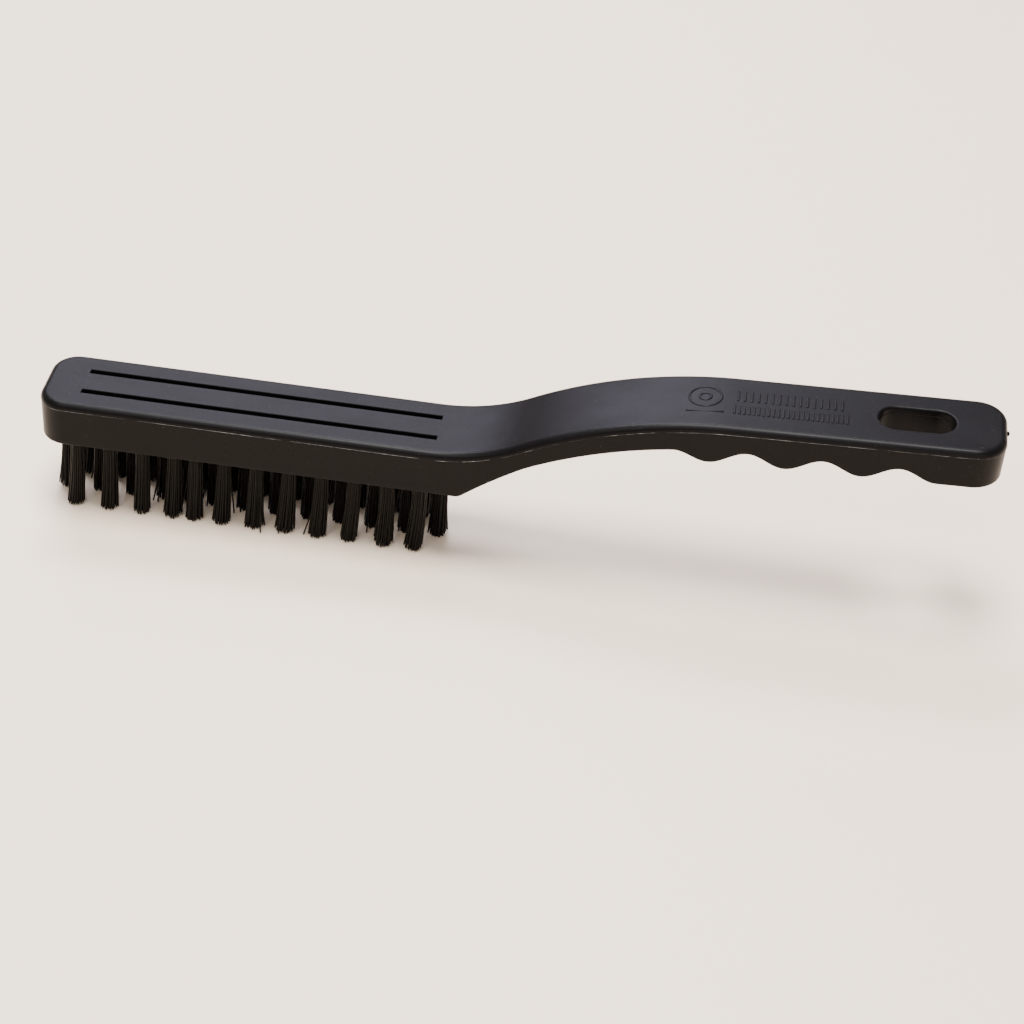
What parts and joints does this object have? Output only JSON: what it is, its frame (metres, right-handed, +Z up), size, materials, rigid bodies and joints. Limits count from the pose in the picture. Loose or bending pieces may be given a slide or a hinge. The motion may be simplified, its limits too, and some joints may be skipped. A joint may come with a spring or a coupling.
{
  "type": "anti-static bench brush",
  "caption": "Long one-piece black brush with a raised handle, finger hollows, a hang slot and stiff conductive tufts for sweeping dust off circuit boards.",
  "frame": {"origin": "on the bench, under the middle of the brush's length and width, with the tuft tips at z = 0", "axes": "+X from the tip of the head to the end of the handle, +Y across the brush, +Z up, away from the bench"},
  "size_m": [0.2214, 0.021, 0.0518],
  "materials": {
    "body_plastic": "satin",
    "bristle_nylon": "satin"
  },
  "bodies": {
    "root": {"handle_body": "body_plastic", "tuft_front_01": "bristle_nylon", "tuft_front_02": "bristle_nylon", "tuft_front_03": "bristle_nylon", "tuft_front_04": "bristle_nylon", "tuft_front_05": "bristle_nylon", "tuft_front_06": "bristle_nylon", "tuft_front_07": "bristle_nylon", "tuft_front_08": "bristle_nylon", "tuft_front_09": "bristle_nylon", "tuft_front_10": "bristle_nylon", "tuft_front_11": "bristle_nylon", "tuft_front_12": "bristle_nylon", "tuft_middle_01": "bristle_nylon", "tuft_middle_02": "bristle_nylon", "tuft_middle_03": "bristle_nylon", "tuft_middle_04": "bristle_nylon", "tuft_middle_05": "bristle_nylon", "tuft_middle_06": "bristle_nylon", "tuft_middle_07": "bristle_nylon", "tuft_middle_08": "bristle_nylon", "tuft_middle_09": "bristle_nylon", "tuft_middle_10": "bristle_nylon", "tuft_middle_11": "bristle_nylon", "tuft_middle_12": "bristle_nylon", "tuft_middle_13": "bristle_nylon", "tuft_back_01": "bristle_nylon", "tuft_back_02": "bristle_nylon", "tuft_back_03": "bristle_nylon", "tuft_back_04": "bristle_nylon", "tuft_back_05": "bristle_nylon", "tuft_back_06": "bristle_nylon", "tuft_back_07": "bristle_nylon", "tuft_back_08": "bristle_nylon", "tuft_back_09": "bristle_nylon", "tuft_back_10": "bristle_nylon", "tuft_back_11": "bristle_nylon", "tuft_back_12": "bristle_nylon"}
  },
  "joints": []
}
